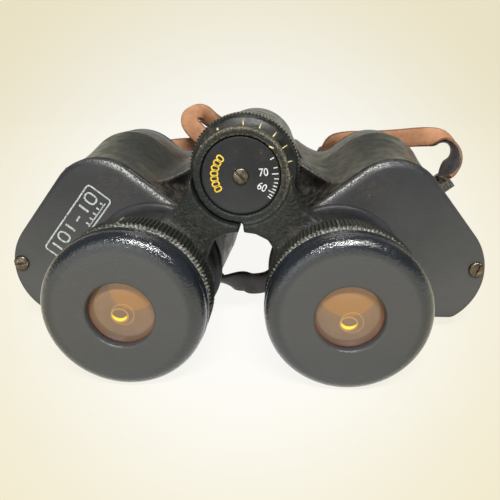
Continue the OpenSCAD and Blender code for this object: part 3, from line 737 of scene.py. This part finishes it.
def add_covers(name, side):
    rear = [(9, 27.9), (5, 27.9), (3.2, 27.9)] + [(2.3 - 2.1 * math.sin(a), 27.95 + 2.1 * (1 - math.cos(a)))
                                     for a in np.linspace(0.15, math.pi / 2, 9)
                                     ] + [(0.05, 30.1), (0.2, 30.42)]
    verts, faces = loft(cover_rings(rear, 0))

    def ridge(co):
        """The upper edge of a cover: scuffed by hands and cloth, with a painted highlight along it on the
        upper side.
        """
        p = (co - eye * [side, 1, 1]) / MM * [side, 1, 1]
        bx = p[:, 0] * math.cos(tilt) + p[:, 2] * math.sin(tilt)
        bz = -p[:, 0] * math.sin(tilt) + p[:, 2] * math.cos(tilt)
        st = (co[:, 1] - face) / MM
        at_edge = np.exp(-((st - 28.9) / 0.42) ** 2)
        return at_edge * np.clip((bz - 9) / 6, 0, 1) * np.clip((31 - bx) / 5, 0.25, 1) * 1.2

    # painted sheen: the lower part of a cover paler, standing in for the pale floor's reflection
    def haze(co):
        return np.clip((0.050 - co[:, 2]) / 0.036, 0, 1) * 0.85

    dust = cloud([(side * 34, 28, -5, 5, 0.6), (side * 24, 28, -12, 7, 0.35), (side * 27, 28, -3, 5, 0.4),
                  (side * 20, 28, -9.5, 5, 0.5)])
    body = name + "_half"
    piece(name + "_eyepiece_cover", from_block(side, verts), faces, COVER, body,
          [name + "_rear_cover"], dust=dust, wear_and_highlight=ridge, matt_and_sheen=haze)
    # the low boss that guides the eyepiece
    boss = lathe([(9.5, 28.4), (9.5, 26.6), (17.4, 26.6), (18.1, 26.72), (18.5, 27.0), (18.62, 27.3),
                  (18.66, 27.7), (18.72, 27.93), (18.72, 28.4)], 160)
    piece(name + "_cover_boss", from_eye(side, boss[0]), boss[1], COVER, body, dust=dust)
    far = [(0.2, 71.98), (0.0, 72.3), (0.0, 72.5)] + [(2.1 - 2.1 * math.cos(a), 72.5 + 2.0 * math.sin(a))
                                                   for a in np.linspace(0.2, math.pi / 2, 9)]
    far += [(4, 74.5), (9, 74.5)]
    verts, faces = loft(cover_rings(far, 1))
    piece(name + "_objective_cover", from_block(side, verts), faces, COVER, body,
          [name + "_front_cover"], dust=dust)


def screw_mesh(r, h, slot_w, turn_by):
    """A domed screw head with its slot, sitting on station 0."""
    step = r / 17
    x, y, z = grid((-r - 3 * step, -h - 3 * step, -r - 3 * step), (r + 3 * step, 0.5, r + 3 * step), step)
    q = np.hypot(x, z)
    top = -h * (0.45 + 0.55 * np.sqrt(np.clip(1 - (q / r) ** 2, 0, 1)))
    d = smax(smax(q - r, top - y, 0.25), y - 0.3, 0.1)
    c, s = math.cos(math.radians(turn_by)), math.sin(math.radians(turn_by))
    slot = np.maximum(np.abs(x * s - z * c) - slot_w / 2, y + h * 0.42)
    return skin(smax(d, -slot, 0.12), (-r - 3 * step, -h - 3 * step, -r - 3 * step), step)


def add_cover_screw(name, side):
    verts, quads = screw_mesh(2.1, 1.1, 0.55, -40 if side < 0 else 35)
    verts = verts + np.array([30.7, 27.9, -23.9])
    piece(name + "_cover_screw_head", from_block(side, verts), quads, BRONZE, name + "_half",
          [name + "_cover_screw"], sharp=None)


def ring_strip(points, width, y, thick=0.08, closed=True):
    """A thin raised line along 2D points, as rings of a loft."""
    p = np.array(points, float)
    nxt, prv = (np.roll(p, -1, 0), np.roll(p, 1, 0)) if closed else (
        np.vstack([p[1:], p[-1:]]), np.vstack([p[:1], p[:-1]]))
    d = nxt - prv
    d /= np.linalg.norm(d, axis=1)[:, None]
    n = np.stack([-d[:, 1], d[:, 0]], 1) * width / 2
    rings = [np.array([[*(q + m)], [*(q - m)]]) for q, m in zip(p, n)]
    out = [np.array([[r[0][0], y, r[0][1]], [r[1][0], y, r[1][1]], [r[1][0], y + thick, r[1][1]],
                     [r[0][0], y + thick, r[0][1]]]) for r in rings]
    if closed:
        out.append(out[0])
    return loft(out, caps=not closed)


def joined(parts):
    verts, faces, n = [], [], 0
    for v, f in parts:
        verts.append(np.asarray(v, float))
        faces += [[i + n for i in q] for q in f]
        n += len(v)
    return np.concatenate(verts), faces


def round_box(x0, z0, x1, z1, r, n=4):
    out = []
    for cx, cz, a in ((x1 - r, z1 - r, 0), (x0 + r, z1 - r, 90), (x0 + r, z0 + r, 180),
                      (x1 - r, z0 + r, 270)):
        out += arc((cx, cz), r, a, a + 90, n)
    return out


def add_label():
    """An engraved frame with two rows of plain strokes on the left cover."""
    y = 27.84
    x0, x1, z0, z1 = 20.4, 27.9, -15.6, 7.8
    parts = [ring_strip(round_box(x0, z0, x1, z1, 0.9), 0.42, y)]
    # big row: open blocks and bars; small row: short bars
    for i, c in enumerate(np.linspace(z1 - 3.0, z0 + 2.6, 6)):
        if i == 2:
            parts.append(ring_strip([(24.9, c - 0.9), (24.9, c + 0.9)], 0.5, y, closed=False))
        elif i % 2:
            parts.append(ring_strip([(23.7, c), (26.8, c)], 0.6, y, closed=False))
        else:
            parts.append(ring_strip(round_box(23.6, c - 1.25, 26.9, c + 1.25, 1.1), 0.5, y))
    for c in np.linspace(z1 - 2.4, z1 - 9.6, 5):
        parts.append(ring_strip([(21.4, c), (22.6, c)], 0.45, y, closed=False))
    parts.append(ring_strip([(21.35, z1 - 1.6), (21.35, z1 - 10.2)], 0.3, y, closed=False))
    verts, faces = joined(parts)
    piece("cover_label", from_block(-1, verts), faces, LABEL, "left_half")


# ---------- eyepieces ----------

def radius_rule(side, lo, hi, a, b, gain=1.0):
    """1 between stations a and b inside radius lo, 0 beyond hi, and less toward the foot of the cup."""
    def at(co):
        p = (co - eye * [side, 1, 1]) / MM
        st = (co[:, 1] - face) / MM
        t = np.clip((hi - np.hypot(p[:, 0], p[:, 2])) / (hi - lo), 0, 1)
        low = np.clip((p[:, 2] + 19) / 16, 0, 1)
        return gain * t * t * (3 - 2 * t) * ((st >= a) & (st <= b)) * (0.15 + 0.85 * low)
    return at


def add_eyecup(name, side, body):
    cup = lathe([(12.2, 2.0), (7.7, 2.0), (7.7, 0.75)] + arc((8.3, 0.6), 0.6, 180, 270, 5)
                + [(9.4, 0.02), (11, 0.01), (12.4, 0.0), (13.8, 0.02), (14.7, 0.06), (15.4, 0.12)]
                + arc((15.7, 3.2), 3.05, 278, 352, 14)
                + [(18.7, 3.4), (18.62, 3.9), (18.66, 4.25), (18.86, 4.5), (18.98, 4.9), (18.9, 5.3),
                   (18.62, 5.55),
                   (18.15, 5.7), (18.02, 6.0), (18.15, 6.3), (18.2, 6.9), (18.0, 7.15), (17.7, 7.4),
                   (12.2, 7.4)], 192)
    dust = cloud([(side * 36, 6, -20, 5, 0.9), (side * 20, 6, -13, 4, 0.8)])
    # the face of the cup is a rougher matte finish whose paler tone is partly a painted sheen, fading toward
    # the foot of the cup where shade falls
    piece(name + "_rubber_cup", from_eye(side, cup[0]), cup[1], BAKELITE, body,
          [name + "_eyecup"], sharp=35, dust=dust, matt_and_sheen=radius_rule(side, 14.5, 16.0, -1, 1.0))


def add_knurled_ring(name, side, body):
    depth, grooves = 0.5, 120
    profile = [(12.3, 7.6), (17.6, 7.6), (18.0, 7.66), (18.9, 8.35), (19, 8.6), (19, 9.5), (19, 11),
               (19, 12.7), (19, 13.4), (18.8, 13.9), (18.4, 14.2), (18.3, 14.6), (12.3, 14.6)]
    weight = np.array([0, 0, 0, 0.8, 1, 1, 1, 1, 1, 0.6, 0, 0, 0])

    def ripple(p, a):
        wave = (0.5 + 0.5 * np.cos(grooves * a)) ** 0.8
        return -depth * weight[:, None] * wave[None, :]

    # the front bevel: scuffed, with a painted pale highlight on it
    def bevel(co):
        st = (co[:, 1] - face) / MM
        return np.clip((8.5 - st) / 0.3, 0, 1) * 0.9

    ring = lathe(profile, grooves * 8, ripple)
    dust = cloud([(side * 13, 11, -18, 9, 0.7), (side * 34, 11, -12, 8, 0.5)])
    piece(name + "_grip_ring", from_eye(side, ring[0]), ring[1], KNURL, body,
          [name + "_knurled_ring"], sharp=None, dust=dust, wear_and_highlight=bevel)


def add_eye_lens(name, side, body):
    dome = lathe([(0.0, 6.4), (9.4, 6.0), (9.5, 2.2), (8.2, 2.15)]
                 + [(r, 1.2 + 0.95 * (r / 8.2) ** 2) for r in (7.7, 7, 6, 5, 4, 3, 2, 1)] + [(0.0, 1.2)], 128)
    piece(name + "_amber_lens", from_eye(side, dome[0]), dome[1], lens_material(name + "_amber_glass", side),
          body,
          [name + "_eye_lens"], weld=True)


# ---------- bridge ----------

ARM_NECK = [(9.3, -7.4), (7.6, -12), (6.3, -16.5), (7.2, -21), (0, -27), (-6.9, -21), (-6, -16.5),
            (-7.2, -13.2),
            (-9.1, -10.9), (-9.3, -7.4)]
HUBS = {"right": (19.4, 22.8), "left": (22.95, 26.2)}


def add_bridge_arm(name, side):
    step = 0.36
    low, high = (-19, 15.5, -57), (19, 27, 13.5)
    u, y, v = grid(low, high, step)
    r, q = np.hypot(u, v), np.hypot(u, v + to_eye)
    h0, h1 = HUBS[name]
    hub = smax(r - 11.9, np.maximum(h0 - y, y - h1), 0.35)
    neck = polygon_distance(u, v, ARM_NECK)
    own_side = 0.5 - (u * math.cos(half_angle) - v * math.sin(half_angle))
    inner = smax(neck, np.maximum(max(h0, 17.6) - y, y - min(h1, 25.2)), 1.2)
    outer = smax(smax(neck, np.maximum(17.6 - y, y - 25.2), 1.6), 12.2 - r, 0.4)
    necks = smax(smin(inner, outer, 0.4), own_side, 0.5)
    collar = smax(q - 17.2, np.maximum(16.4 - y, y - 25.2), 1.1)
    d = smin(hub, smax(smin(necks, collar, 2.4), y - 25.2, 0.3), 1.2)
    d = smax(d, own_side * (r > 12.6) + (r <= 12.6) * -9.0, 0.3)
    d = smax(d, 14.62 - q, 0.2)
    if side > 0:
        d = smax(d, -np.maximum(r - 9.95, y - 21.05), 0.3)
    d = np.maximum(d, 3.1 - r)
    verts, quads = skin(d, low, step)
    dust = cloud([(side * 12, 18, -13, 6, 0.9), (side * 16, 17, -14, 5, 0.9), (side * 9, 18, -19, 5, 0.6),
                  (side * 10, 20, -2, 4, 0.9), (side * 11, 20, 4, 4, 0.9), (side * 6, 18, -13, 4, 0.5)])

    def rim(co):
        """Brassy wear round the rim of the hub, most at the upper right."""
        d = (co - hinge) / MM
        rr, aa = np.hypot(d[:, 0], d[:, 2]), np.arctan2(d[:, 2], d[:, 0])
        st = (co[:, 1] - face) / MM
        lip = np.exp(-((rr - 11.7) / 0.35) ** 2) + 0.8 * np.exp(-((rr - 10.1) / 0.22) ** 2)
        return lip * (st < h0 + 0.9) * np.clip(0.35 + np.cos(aa - 1.1), 0, 1) * 0.9

    piece(name + "_bridge_casting", from_half(side, verts), quads, ARM, name + "_bridge",
          [name + "_bridge_arm"], sharp=None, dust=dust, wear_and_highlight=rim)


def polar(angle, r):
    """Angles as on a clock face turned so that 0 is to the right and 90 is up."""
    return r * math.cos(math.radians(angle)), r * math.sin(math.radians(angle))


def dial_tick(angle, r0, r1, width, y):
    return ring_strip([polar(angle, r0), polar(angle, (r0 + r1) / 2), polar(angle, r1)], width, y, 0.07,
                      closed=False)


SCALE = {56: -37.0, 58: -32.4, 60: -27.1, 62: -22.1, 64: -16.5, 66: -10.6, 68: -3.9,
         70: 4.2, 72: 14.1, 74: 29.6}


def number(text, at, size, lean, y):
    curve = bpy.data.curves.new("digits", "FONT")
    curve.body, curve.size, curve.extrude = text, size, 0.03
    curve.offset = 0.02
    curve.align_x, curve.align_y = "CENTER", "CENTER"
    ob = bpy.data.objects.new("digits", curve)
    bpy.context.scene.collection.objects.link(ob)
    me = bpy.data.meshes.new_from_object(ob.evaluated_get(bpy.context.evaluated_depsgraph_get()))
    co = np.array([v.co for v in me.vertices])
    faces = [list(f.vertices) for f in me.polygons]
    bpy.data.objects.remove(ob)
    c, s = math.cos(math.radians(lean)), math.sin(math.radians(lean))
    x, z = co[:, 0] * 0.86, co[:, 1]
    return np.stack([at[0] + x * c - z * s, y - co[:, 2], at[1] + x * s + z * c], 1), faces


def add_disc():
    y = 19.9
    disc = lathe([(1.2, 20.9), (1.2, y + 0.05), (1.5, y)]
                 + [(r, y) for r in (2.2, 3.5, 5, 6.5, 8, 8.8)]
                 + [(9.2, y), (9.55, y + 0.05), (9.72, y + 0.2), (9.75, y + 0.4),
                  (9.75, 20.9)], 160)
    dust = cloud([(7, 20, 6, 3, 0.8), (9, 20, 0, 3, 0.5), (0, 20, 9, 4, 0.6)])
    piece("width_disc", from_hinge(disc[0]), disc[1], ENAMEL, "left_bridge", ["scale_disc"],
          dust=dust,
          # painted sheen: the lower part of the disc paler
          matt_and_sheen=lambda co: np.clip((hinge[2] + 0.001 - co[:, 2]) / 0.009, 0, 1) * 0.25)
    marks = [dial_tick(a, 7.7 if mm % 10 == 0 else 8.3, 9.3, 0.26, y - 0.05) for mm, a in SCALE.items()]
    piece("width_ticks", from_hinge(joined(marks)[0]), joined(marks)[1], WHITE, "left_bridge")
    for value, (x, z), lean in ((70, (5.6, 0.9), 4), (60, (5.2, -2.75), -27)):
        v, f = number(str(value), (x, z), 2.75, lean, y - 0.03)
        piece(f"width_{value}", from_hinge(v), f, WHITE, "left_bridge", sharp=None)
    # seven plain rings where a maker's number would be
    parts = []
    for a in np.linspace(210, 139, 7):
        c = np.array(polar(a, 6.55))
        across = np.array(polar(a, 1.0))
        along = np.array([-across[1], across[0]])
        box = round_box(-0.86, -0.56, 0.86, 0.56, 0.5, 3)
        parts.append(ring_strip([c + p[0] * across + p[1] * along for p in box], 0.36, y - 0.05, 0.07))
    v, f = joined(parts)
    piece("plain_number_marks", from_hinge(v), f, YELLOW, "left_bridge")
    verts, quads = screw_mesh(2.0, 0.8, 0.42, -38)
    piece("disc_screw_head", from_hinge(verts + np.array([0, y, 0])), quads, BRONZE, "left_bridge",
          ["disc_screw"], sharp=None)
    index = joined([dial_tick(-48.5, 10.1, 11.6, 0.4, 19.33)])
    piece("width_index", from_hinge(index[0]), index[1], ORANGE, "right_bridge")
    index = joined([ring_strip([polar(46.5, 10.15), polar(40.5, 10.6)], 0.34, 19.33, 0.07, closed=False)])
    piece("width_index_b", from_hinge(index[0]), index[1], CREAM, "right_bridge")


# ---------- focus wheel ----------

def add_wheel():
    depth, grooves = 0.4, 96
    profile = [(3.1, 27.6), (10.4, 27.6), (10.8, 27.64), (13.4, 28.72), (13.8, 28.95), (14.05, 29.3),
               (14.15, 29.9),
               (14.4, 30.15), (14.9, 30.6), (14.9, 32), (14.9, 35), (14.9, 38.4), (14.9, 39.2), (14.5, 39.7),
               (14, 40),
               (4.9, 40), (4.9, 56), (3.1, 56)]
    weight = np.array([0] * 7 + [0.3] + [1] * 5 + [0.4] + [0] * 4)

    def ripple(p, a):
        return -depth * weight[:, None] * (0.5 + 0.5 * np.cos(grooves * a))[None, :]

    ring = lathe(profile, grooves * 8, ripple)
    dust = cloud([(-10, 28, 8, 6, 0.9), (9, 28, 9, 5, 0.6), (-12, 28, 2, 5, 0.7), (3, 28, 12, 5, 0.5)])
    piece("focus_grip", from_hinge(ring[0]), ring[1], KNURL, "focus_knob", ["focus_wheel"],
          sharp=45,
          dust=dust)
    slope = (28.72 - 27.64) / (13.4 - 10.8)
    parts = []
    for i, turned_by in enumerate((0, 21, 41, 60, 79, 98, -32, -61)):
        long = (11.0, 13.35) if i == 0 else (11.3, 13.2) if i < 4 else (11.8, 13.0) if i < 5 else (12.3, 12.9)
        a = 90 - turned_by
        out = []
        for r in np.linspace(long[0], long[1], 3):
            c = np.array(polar(a, r))
            side = np.array(polar(a + 90, 0.16 if i < 5 else 0.24))
            y = 27.64 + slope * (r - 10.8)
            out.append(np.array([[*(c + side), y], [*(c - side), y], [*(c - side), y - 0.08],
                                 [*(c + side), y - 0.08]])[:, [0, 2, 1]])
        parts.append(loft(out))
    v, f = joined(parts)
    piece("focus_marks", from_hinge(v), f, CREAM, "focus_knob", sharp=None)


for name, side in SIDES.items():
    add_housing(name, side)
    add_covers(name, side)
    add_cover_screw(name, side)
    add_bridge_arm(name, side)
    ocular = "left_bridge" if side < 0 else "right_ocular"
    add_eyecup(name, side, ocular)
    add_knurled_ring(name, side, ocular)
    add_eye_lens(name, side, ocular)
add_label()
add_disc()
add_wheel()

# CAD nodes that are shown as they are, with their finish
FINISH = {"strap_lug": METAL_BLACK, "objective_tube": METAL_BLACK, "objective_ring": KNURL,
          "hinge_axle": STEEL,
          "hinge_cap": METAL_BLACK, "focus_spindle": STEEL, "eyepiece_barrel": METAL_BLACK,
          "ocular_sleeve": STEEL,
          "ocular_cell": METAL_BLACK, "objective_lens": OBJECTIVE_GLASS, "prism": STEEL,
          "field_lens": OBJECTIVE_GLASS}
for node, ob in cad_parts.items():
    for key, mat in FINISH.items():
        if key in node and not ob.hide_render:
            ob.data.materials.clear()
            ob.data.materials.append(mat)


# ---------- floor and light ----------

def add_stage():
    """A pale sweep that glows, with a painted pool of light: near white where the object stands and warmer
    toward the edges.
    """
    m = Mat("paper")
    m.b.inputs["Specular IOR Level"].default_value = 0.1
    here = np.array(camera.location)
    spread = (np.array([camera.data.shift_x, camera.data.shift_y])
              * camera.data.sensor_width / camera.data.lens)
    axis = camera.rotation_euler.to_matrix() @ Vector((spread[0], spread[1], -1))
    away = m.add("VectorMath", {"operation": "SUBTRACT"}, {0: m.co, 1: tuple(here)}).outputs[0]
    away = m.add("VectorMath", {"operation": "NORMALIZE"}, {0: away}).outputs[0]
    c = m.add("VectorMath", {"operation": "DOT_PRODUCT"}, {0: away,
              1: tuple(axis.normalized())}).outputs["Value"]
    slope = m.math("DIVIDE", m.math("SQRT", m.math("SUBTRACT", 1.0, m.math("MULTIPLY", c, c)), 0), c)
    tone = m.mix(m.step(slope, 0.19, 0.86), rgb(0.985, 0.975, 0.945), rgb(0.845, 0.785, 0.575))
    tone = m.mix(m.step(m.noise(3, 3), 0.3, 0.7, 0.0, 0.03), tone, rgb(0.9, 0.88, 0.8))
    m.put(m.b.inputs["Emission Color"], tone)
    m.b.inputs["Emission Strength"].default_value = 0.93
    m.done(rgb(0.07, 0.068, 0.062), 0.8, m.bump(m.noise(300, 3), 0.1, 0.0002))
    rows = [(-0.9, 0)] + [(y, 0) for y in np.linspace(-0.6, 0.7, 6)]
    rows += [(0.7 + 0.6 * math.sin(a), 0.6 - 0.6 * math.cos(a)) for a in np.linspace(0.15, math.pi / 2, 10)]
    rows += [(1.3, 0.8)]
    verts = [[x, y, z] for y, z in rows for x in np.linspace(-1.5, 1.5, 5)]
    faces = [[i * 5 + j, i * 5 + j + 1, (i + 1) * 5 + j + 1, (i + 1) * 5 + j]
             for i in range(len(rows) - 1) for j in range(4)]
    me = bpy.data.meshes.new("sweep")
    me.from_pydata(verts, [], faces)
    me.shade_smooth()
    me.materials.append(m.m)
    ob = bpy.data.objects.new("sweep", me)
    bpy.context.scene.collection.objects.link(ob)


def add_light(name, at, aim, size, power, color=(1, 1, 1), long=None):
    data = bpy.data.lights.new(name, "AREA")
    data.energy, data.size, data.color = power, size, color
    if long:
        data.shape, data.size_y = "RECTANGLE", long
    ob = bpy.data.objects.new(name, data)
    bpy.context.scene.collection.objects.link(ob)
    ob.location = at
    d = np.array(aim) - np.array(at)
    ob.rotation_euler = Euler((math.atan2(math.hypot(d[0], d[1]), -d[2]), 0, math.atan2(-d[0], d[1])), "XYZ")


add_stage()
add_light("key", (0.06, -0.42, 0.56), (0, 0, 0.03), 0.40, 6.0, (1.0, 0.99, 0.96), 0.04)
add_light("front", (-0.25, -0.62, 0.16), (0, 0, 0.03), 0.5, 1.3, (0.97, 0.99, 1.0))
add_light("over", (0.0, 0.26, 0.62), (0, 0, 0.04), 0.10, 0.35, (1.0, 1.0, 1.0), 0.05)
world = bpy.data.worlds.new("studio")
bpy.context.scene.world = world
world.use_nodes = True
world.node_tree.nodes["Background"].inputs[0].default_value = rgb(1.0, 0.975, 0.93)
world.node_tree.nodes["Background"].inputs[1].default_value = 0.10
bpy.context.scene.view_settings.view_transform = "Standard"
